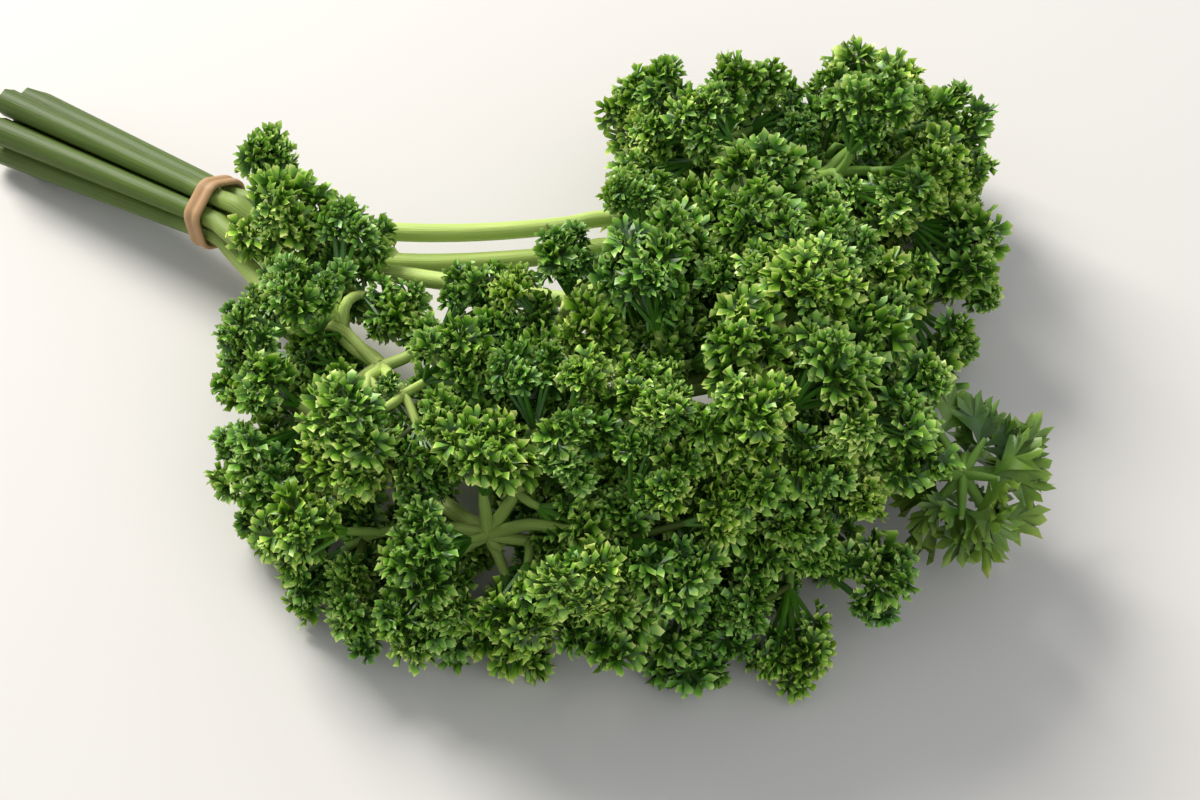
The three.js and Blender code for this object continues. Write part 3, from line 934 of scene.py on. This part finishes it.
# %% A set of curls
def curl_set(name, outline, length, bends, cups, ruffle, tones, seed):
    """A collection of curls: one for each pair of bend and cup. Tones are those of root and tip."""
    collection = bpy.data.collections.new(name)
    draw = random_from(seed)
    for bend in bends:
        for cup in cups:
            label = f"{name}_{len(collection.objects)}"
            mesh = curl_mesh(label, outline, length, bend, cup, ruffle, tones, draw)
            collection.objects.link(bpy.data.objects.new(label, mesh))
    bpy.context.scene.collection.children.link(collection)
    return collection


curls = curl_set(
    "curl", dict(lobes=3, fan=2.2, notch=0.22, shoulder=0.31), length=4.1,
    bends=(0.8, 1.4, 2.1), cups=(0.9, -0.6), ruffle=1.1, tones=(0.0, 1.0), seed=5,
)
fingers = curl_set(
    "finger", dict(lobes=5, fan=2.0, notch=0.36, shoulder=0.36), length=10.0,
    bends=(0.3, 0.9, -0.4), cups=(0.45, -0.4), ruffle=0.7, tones=(0.52, 0.80), seed=6,
)

# %% [markdown]
# ## Rosettes of curls
# Curls stand together in rosettes the size of a pea, and dark gaps between the rosettes give curly
# parsley its knobbly look. Points spread evenly over a ball, as seeds are over a sunflower, say
# which way each curl looks. The same spread is needed again for the rosettes of a tuft, so it is a
# helper. Random points would clump and leave holes.

# %% Helpers: an even spread over a ball, and copies turned to face along it
def spread_over_ball(tree, count, cover):
    """Directions spread evenly over a ball, from +Z down to where cover of its height is used."""
    number = geometry_node(tree, "InputIndex")
    part = calculate(tree, "DIVIDE", plus(tree, number, 0.5), count)
    height = minus(tree, 1.0, times(tree, part, times(tree, cover, 2.0)))
    girth = calculate(tree, "SQRT", minus(tree, 1.0, times(tree, height, height)))
    turn = times(tree, number, math.pi * (3 - math.sqrt(5)))
    x = times(tree, girth, calculate(tree, "COSINE", turn))
    y = times(tree, girth, calculate(tree, "SINE", turn))
    return combine(tree, x, y, height)


def random_value(tree, low, high, seed):
    inputs = {2: low, 3: high, "Seed": seed}
    return add_node(tree, "FunctionNodeRandomValue", inputs, data_type="FLOAT").outputs[1]


def random_number(tree, last, seed):
    """A whole number from 0 to the last one."""
    inputs = {4: 0, 5: last, "Seed": seed}
    return add_node(tree, "FunctionNodeRandomValue", inputs, data_type="INT").outputs[2]


def random_step(tree, most, seed):
    """A vector that goes up to that far along each axis."""
    inputs = {0: (-most,) * 3, 1: (most,) * 3, "Seed": seed}
    return add_node(tree, "FunctionNodeRandomValue", inputs, data_type="FLOAT_VECTOR").outputs[0]


def face_along(tree, direction, roll):
    """The rotation that turns +Z to a direction and rolls about it."""
    aimed = add_node(tree, "FunctionNodeAlignRotationToVector", {"Vector": direction}, axis="Z")
    rolled = add_node(tree, "FunctionNodeAxisAngleToRotation", {"Axis": (0.0, 0.0, 1.0), "Angle": roll})
    both = {"Rotation": aimed.outputs[0], "Rotate By": rolled.outputs[0]}
    return add_node(tree, "FunctionNodeRotateRotation", both, rotation_space="LOCAL").outputs[0]


def pick_copies(tree, points, collection, which, rotation, scale):
    """One object of a collection on each point."""
    shapes = {"Collection": collection, "Separate Children": True, "Reset Children": True}
    return geometry_node(tree, "InstanceOnPoints", {
        "Points": points,
        "Instance": geometry_node(tree, "CollectionInfo", shapes),
        "Pick Instance": True,
        "Instance Index": which,
        "Rotation": rotation,
        "Scale": scale,
    })


# %% The tree that makes a rosette
tree, given = new_tree("rosette_of_curls", {
    "Curls": ("Collection", None),
    "Count": ("Int", 15),
    "Cover": ("Float", 0.62),
    "Flatness": ("Float", 0.0),
    "Roll": ("Float", 2 * math.pi),
    "Seed": ("Int", 1),
    "Material": ("Material", None),
})
seed = given["Seed"]
seeds = geometry_node(tree, "Points", {"Count": given["Count"]})
outwards = spread_over_ball(tree, given["Count"], given["Cover"])
leaning = vector(tree, "ADD", outwards, random_step(tree, 0.22, seed))
depth = combine(tree, 1.0, minus(tree, 1.0, given["Flatness"]), 1.0)
roll = random_value(tree, times(tree, given["Roll"], -0.5), times(tree, given["Roll"], 0.5), seed)
turned = face_along(tree, vector(tree, "MULTIPLY", leaning, depth), roll)
which = random_number(tree, len(curls.objects) - 1, seed)
size = random_value(tree, 0.72, 1.25, seed)
copies = pick_copies(tree, seeds, given["Curls"], which, turned, size)
rosette_tree = finish_tree(tree, given, copies)


# %% Make the rosettes
VARIANTS = 4


def pattern_set(name, tree, values):
    """A collection of a tree's results for different seeds."""
    collection = bpy.data.collections.new(name)
    for k in range(VARIANTS):
        start = new_mesh(name + "_start", [])
        piece = grow(tree, f"{name}_{k}", start, {**values, "Seed": 17 * k + 3, "Material": leaf_green})
        bpy.context.scene.collection.objects.unlink(piece)
        collection.objects.link(piece)
    bpy.context.scene.collection.children.link(collection)
    print(name, VARIANTS, "of", triangles(piece), "triangles")
    return collection


OPEN_LEAF = {"Curls": fingers, "Count": 6, "Cover": 0.5, "Flatness": 0.6, "Roll": 1.4}
rosettes = pattern_set("rosette", rosette_tree, {"Curls": curls, "Count": 16})
open_leaves = pattern_set("open_leaf", rosette_tree, OPEN_LEAF)

# %% [markdown]
# ## Tufts of rosettes
# A tuft is a ball of rosettes, each on a thin twig of its own that comes from the tuft's root.
# Noise draws some of them in, so that no two tufts have the same outline. Small tufts have fewer
# rosettes rather than smaller ones, because curls are about one size all over the plant. The
# young leaves at the far tip haven't curled yet: their tufts are loose hands of flat fingers.

# %% The tree that makes a tuft
tree, given = new_tree("tuft_of_rosettes", {
    "Rosettes": ("Collection", None),
    "Kinds": ("Int", VARIANTS),
    "Count": ("Int", 10),
    "Ball": ("Float", 0.0085),
    "Rosette": ("Float", 0.0042),
    "Cover": ("Float", 0.86),
    "Raggedness": ("Float", 1.3),
    "Seed": ("Int", 1),
    "Material": ("Material", None),
})
seed = given["Seed"]
seeds = geometry_node(tree, "Points", {"Count": given["Count"]})
outwards = spread_over_ball(tree, given["Count"], given["Cover"])
noise_at = {"Vector": outwards, "W": seed, "Scale": 1.3, "Detail": 0.0}
lumps = add_node(tree, "ShaderNodeTexNoise", noise_at, noise_dimensions="4D").outputs["Fac"]
swell = plus(tree, 1.0, times(tree, minus(tree, lumps, 0.5), given["Raggedness"]))
swell = calculate(tree, "MINIMUM", swell, 1.12)
deep = times(tree, minus(tree, given["Ball"], given["Rosette"]), swell)
middle = combine(tree, z=given["Ball"])
ideal = vector(tree, "ADD", middle, vector(tree, "SCALE", outwards, scale=deep))
centre = vector(tree, "ADD", ideal, random_step(tree, 0.0016, seed))
placed = geometry_node(tree, "SetPosition", {"Geometry": seeds, "Position": centre})
from_low = vector(tree, "SUBTRACT", centre, vector(tree, "SCALE", middle, scale=0.3))
turned = face_along(tree, from_low, random_value(tree, 0.0, 2 * math.pi, seed))
which = random_number(tree, minus(tree, given["Kinds"], 1.0), seed)
size = random_value(tree, 0.80, 1.25, seed)
knobs = pick_copies(tree, placed, given["Rosettes"], which, turned, size)
lit = store(tree, knobs, "light", random_value(tree, 0.0, 1.0, seed), domain="INSTANCE")
cone = {"Vertices": 5, "Radius Top": 0.0003, "Radius Bottom": 0.0006, "Depth": 1.0}
twigs = geometry_node(tree, "InstanceOnPoints", {
    "Points": seeds,
    "Instance": store(tree, geometry_node(tree, "MeshCone", cone), "tip", 0.60),
    "Rotation": face_along(tree, centre, 0.0),
    "Scale": combine(tree, 1.0, 1.0, vector(tree, "LENGTH", centre)),
})
joined = add_node(tree, "GeometryNodeJoinGeometry")
tree.links.new(twigs, joined.inputs[0])
tree.links.new(lit, joined.inputs[0])
tuft_tree = finish_tree(tree, given, joined.outputs[0])

# %% Make the tufts
TUFT_SIZES = (8.5, 7.0, 5.6, 4.4)
ROSETTES_IN_TUFT = (9, 7, 5, 2)
OPEN = len(TUFT_SIZES)
tuft_sets = [
    pattern_set(f"tuft_{k}", tuft_tree, {"Rosettes": rosettes, "Count": count, "Ball": ball / 1000})
    for k, (ball, count) in enumerate(zip(TUFT_SIZES, ROSETTES_IN_TUFT))
]
all_tufts = bpy.data.collections.new("all_tufts")
for k, tufts in enumerate([*tuft_sets, open_leaves]):
    for j, tuft in enumerate(list(tufts.objects)):
        tuft.name = f"pattern_{k}_{j}"
        all_tufts.objects.link(tuft)
bpy.context.scene.collection.children.link(all_tufts)

# %% [markdown]
# ## The leaves of a frond
# Each tuft of a frond is now one point that knows which way its stalk aims, how big the tuft is and
# how light. One tree puts a tuft on each point. The big ones are a tenth larger than the room they
# have, since real tufts press into each other. The outermost curls are then pressed softly inside
# the size that the model states, as a table presses the leaves that lie on it.

# %% The tree that places the tufts
tree, given = new_tree("tufts_on_stalks", {
    "Tufts": ("Collection", None),
    "Material": ("Material", None),
})
turned = face_along(tree, attribute(tree, "aim", "FLOAT_VECTOR"), attribute(tree, "turn"))
kind = attribute(tree, "kind", "INT")
size = attribute(tree, "size", "FLOAT_VECTOR")
copies = pick_copies(tree, given["Geometry"], given["Tufts"], kind, turned, size)
leaf_tree = finish_tree(tree, given, copies)


# %% Helper that keeps a piece inside the stated size
def keep_inside(piece, side=0.003, table=0.0010):
    """Moves the vertices near the model's box softly inside it."""
    low, high = np.array(cad_box)
    points = np.empty(3 * len(piece.data.vertices))
    piece.data.vertices.foreach_get("co", points)
    points = points.reshape(-1, 3)
    soft = np.array([side, side, table])
    over = np.maximum(low + soft - points, 0) / soft
    points = np.where(over > 0, low + soft * np.exp(-over), points)
    over = np.maximum(points - high + side, 0) / side
    points = np.where(over > 0, high - side * np.exp(-over), points)
    piece.data.vertices.foreach_set("co", points.ravel())
    piece.data.update()


# %% Where each tuft sits
TUFT_SWELL = 1.10
BARE_SHARE, SMALL_EVERY = 0.45, 3


def is_open(frond, number):
    """Whether the leaves of a frond's branch are open: those at the end of the far right frond."""
    return frond["name"] == "frond_far_right" and number >= len(frond["low"])


def big_tufts(index):
    """The tufts of one frond that its solid has too, in millimetres."""
    places = []
    for number, branch in enumerate(grown[index]["branches"]):
        carried = [(branch["row"][-1], branch["last"])]
        carried += [(middle, tuft) for _, middle, tuft in branch["tufts"]]
        young = is_open(FRONDS[index], number)
        for before, tuft in carried:
            aim = unit(at[tuft] - at[before])
            room = room_for(tuft)
            places.append(dict(root=at[tuft] - aim * room, aim=aim, ball=TUFT_SWELL * room, open=young))
    return places


def small_tufts(index, draw):
    """The small tufts of one frond: those found for gaps, and more along the ends of branches."""
    places = []
    for bead, spot, ball in fillers[index]:
        aim = unit(spot - at[bead])
        places.append(dict(root=spot - aim * ball, aim=aim, ball=ball, open=False))
    for number, branch in enumerate(grown[index]["branches"]):
        row = branch["row"]
        young = is_open(FRONDS[index], number)
        side = 1 if draw() < 0.5 else -1
        for k in range(max(2, half_up(BARE_SHARE * len(row))), len(row), SMALL_EVERY):
            along = unit(at[row[k]] - at[row[k - 1]])
            across, over = axes_across(along)
            lean = math.radians(-75 + 95 * draw())
            aim = unit(0.6 * along + side * math.cos(lean) * across + math.sin(lean) * over)
            side = -side
            places.append(dict(root=at[row[k]], aim=aim, ball=3.9 + 0.9 * draw(), open=young))
    return places


def roll_to_face_up(aim):
    """The roll about an aim that turns the flat side of an open leaf upwards."""
    turned = Vector((0, 0, 1)).rotation_difference(Vector(aim))
    return math.atan2(-(turned @ Vector((1, 0, 0))).z, (turned @ Vector((0, 1, 0))).z)


def point_mesh(name, places, draw):
    """A mesh of points that carry what the leaf tree needs to know of each tuft."""
    kinds, sizes, turns = [], [], []
    for place in places:
        group = OPEN
        nominal = TUFT_SIZES[0]
        turn = roll_to_face_up(place["aim"]) + 0.8 * (draw() - 0.5)
        if not place["open"]:
            group = int(np.argmin([abs(place["ball"] - size) for size in TUFT_SIZES]))
            nominal = TUFT_SIZES[group]
            turn = 2 * math.pi * draw()
        kinds.append(VARIANTS * group + int(VARIANTS * draw()))
        sizes += [place["ball"] / nominal * (0.88 + 0.24 * draw()) for _ in range(3)]
        turns.append(turn)
    mesh = new_mesh(name, [tuple(in_frame(place["root"])) for place in places])
    set_values(mesh, "aim", [c for place in places for c in place["aim"]], "FLOAT_VECTOR")
    set_values(mesh, "size", sizes, "FLOAT_VECTOR")
    set_values(mesh, "turn", turns)
    set_values(mesh, "shade", [draw() for _ in places])
    set_values(mesh, "young", [float(place["open"]) for place in places])
    set_values(mesh, "kind", kinds, "INT")
    return mesh


# %% Make the leaves of every frond
leaves = []
for index, frond in enumerate(FRONDS):
    draw = random_from(frond["seed"] + 500)
    big, small = big_tufts(index), small_tufts(index, draw)
    points = point_mesh(frond["name"] + "_points", big + small, draw)
    given = {"Tufts": all_tufts, "Material": leaf_green}
    piece = grow(leaf_tree, frond["name"].replace("frond", "leaves"), points, given)
    keep_inside(piece)
    keep_inside(stalks[index], table=0.0002)
    leaves.append(piece)
    print(piece.name, len(big), "tufts,", len(small), "small ones,", triangles(piece), "triangles")

# %% [markdown]
# ## Clear the patterns away
# The curls, rosettes and tufts that were copied aren't part of the bunch themselves, so they are
# removed.

# %% Remove the patterns
for collection in (curls, fingers, rosettes, open_leaves, *tuft_sets, all_tufts):
    for pattern in list(collection.objects):
        bpy.data.objects.remove(pattern)
    bpy.data.collections.remove(collection)
print(len(bpy.data.collections), "collections left")

# %% [markdown]
# ## The rubber band
# The band is stretched so tight that it follows the outline of the stems, and it goes round twice,
# which shows as a groove. It is swept by hand: a ring of sections, each the same rounded profile,
# because a curve with a bevel would pinch at the corners. The rubber is tan, dull and a bit
# translucent, with fine lines along it from the way such bands are cut.

# %% Band material
band_tan, tree, shader = new_material("band_tan")
lane = times(tree, shader_attribute(tree, "lane"), 26.0)
run = times(tree, shader_attribute(tree, "run"), 5.0)
lines = noise(tree, combine(tree, lane, run), 1.0, 3.0)
colour = ramp(tree, lines, [(0.3, (0.34, 0.19, 0.08)), (0.7, (0.56, 0.35, 0.17))])
tree.links.new(colour, shader.inputs["Base Color"])
dent(tree, shader, lines, 0.35, 0.0003)
set_shader(shader, {
    "Roughness": 0.55,
    "Subsurface Weight": 0.3,
    "Subsurface Radius": (1.0, 0.5, 0.25),
    "Subsurface Scale": 0.001,
})
print("band material has", len(tree.nodes), "nodes")


# %% Make the band
BAND_STEPS = 144
BAND_SIDE = [(1.0, 0.3), (1.0, 0.6), (0.86, 0.86), (0.5, 0.98), (0.2, 0.86)]
OTHER_SIDE = [(-across, rise) for across, rise in reversed(BAND_SIDE)]
BAND_SECTION = [(-0.92, 0.08), (0.92, 0.08), *BAND_SIDE, (0.0, 0.6), *OTHER_SIDE]


def make_band():
    """The band swept round the stems: its section is given across the band and away from them."""
    rings = [band_line(BAND_STEPS, rise * BAND_THICKNESS) for _, rise in BAND_SECTION]
    rings = [(np.roll(r, 1, axis=0) + 2 * r + np.roll(r, -1, axis=0)) / 4 for r in rings]
    vertices, faces = [], []
    count = len(BAND_SECTION)
    for k in range(BAND_STEPS):
        wander = 0.12 * math.sin(4 * math.pi * k / BAND_STEPS + 1.0)
        onward = (k + 1) % BAND_STEPS
        for i, (across, _) in enumerate(BAND_SECTION):
            vertices.append(tuple(in_frame(rings[i][k] + half * (across * 0.97 + wander * 0.25))))
            j = (i + 1) % count
            faces.append((k * count + i, k * count + j, onward * count + j, onward * count + i))
    mesh = new_mesh("band", vertices, faces=faces)
    set_values(mesh, "lane", [across for _ in range(BAND_STEPS) for across, _ in BAND_SECTION])
    set_values(mesh, "run", [k / BAND_STEPS for k in range(BAND_STEPS) for _ in BAND_SECTION])
    mesh.materials.append(band_tan)
    mesh.shade_smooth()
    return add_object("band", mesh)


band = make_band()
print("band", triangles(band), "triangles")

# %% [markdown]
# ## Floor, light and camera
# The bunch lies on a plain pale floor. The light is soft: a large lamp from the back left, as a
# window would give, a weaker one from the front to open the shadows, and a pale world around them.
# The camera looks down from the near side at 50 degrees, as the photographer did.

# %% Floor
floor_pale, tree, shader = new_material("floor_pale")
set_shader(shader, {"Base Color": (0.66, 0.64, 0.61, 1), "Roughness": 0.8})
corners = [(-6, -6, 0), (6, -6, 0), (6, 6, 0), (-6, 6, 0)]
mesh = new_mesh("floor", corners, faces=[(0, 1, 2, 3)])
mesh.materials.append(floor_pale)
floor = add_object("floor", mesh)
print("floor is", 2 * corners[2][0], "metres wide")


# %% Light
def add_lamp(name, place, size, power, colour):
    """A square lamp that looks at the origin."""
    lamp = bpy.data.lights.new(name, "AREA")
    lamp.shape = "SQUARE"
    lamp.size = size
    lamp.energy = power
    lamp.color = colour
    holder = add_object(name, lamp)
    holder.location = place
    holder.rotation_euler = (-Vector(place)).to_track_quat("-Z", "Y").to_euler()


add_lamp("window", (-0.75, 0.85, 1.0), 0.7, 30, (1.0, 0.97, 0.92))
add_lamp("fill", (0.6, -0.9, 0.9), 1.2, 5, (0.95, 0.97, 1.0))
world = bpy.data.worlds.new("studio")
world.use_nodes = True
set_shader(world.node_tree.nodes["Background"], {"Color": (0.93, 0.95, 1.0, 1), "Strength": 0.50})
bpy.context.scene.world = world
print("lamps", [light.name for light in bpy.data.lights])

# %% Camera
ELEVATION = math.radians(50)
DISTANCE = 0.449
camera_data = bpy.data.cameras.new("camera")
camera_data.sensor_width = 36
camera_data.lens = 66
camera_data.clip_start = 0.01
camera = add_object("camera", camera_data)
aim = Vector(in_frame((0, 0, 0)))
back = Vector((0, -math.cos(ELEVATION), math.sin(ELEVATION)))
camera.location = aim + back * DISTANCE
camera.rotation_euler = (-back).to_track_quat("-Z", "Y").to_euler()
bpy.context.scene.camera = camera
bpy.context.scene.view_settings.view_transform = "Standard"
print("camera at", [round(c, 3) for c in camera.location])

# %% [markdown]
# ## Riding on the body
# Every piece rides on the one body of the model, and the solid it stands for is hidden. The stalks
# and the leaves of a frond stand for it together. At the end the box of the solids is printed, and
# the count of triangles in all.

# %% Ride, replace and finish
for frond, leaf_piece, stalk_piece in zip(FRONDS, leaves, stalks):
    for piece in (leaf_piece, stalk_piece):
        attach(piece, "root")
        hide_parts(frond["name"])
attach(band, "root")
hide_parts("rubber_band")

print("CAD box mm", [round(1000 * c, 1) for corner in cad_box for c in corner])
print("triangles in all", sum(triangles(p) for p in [*leaves, *stalks, band]))
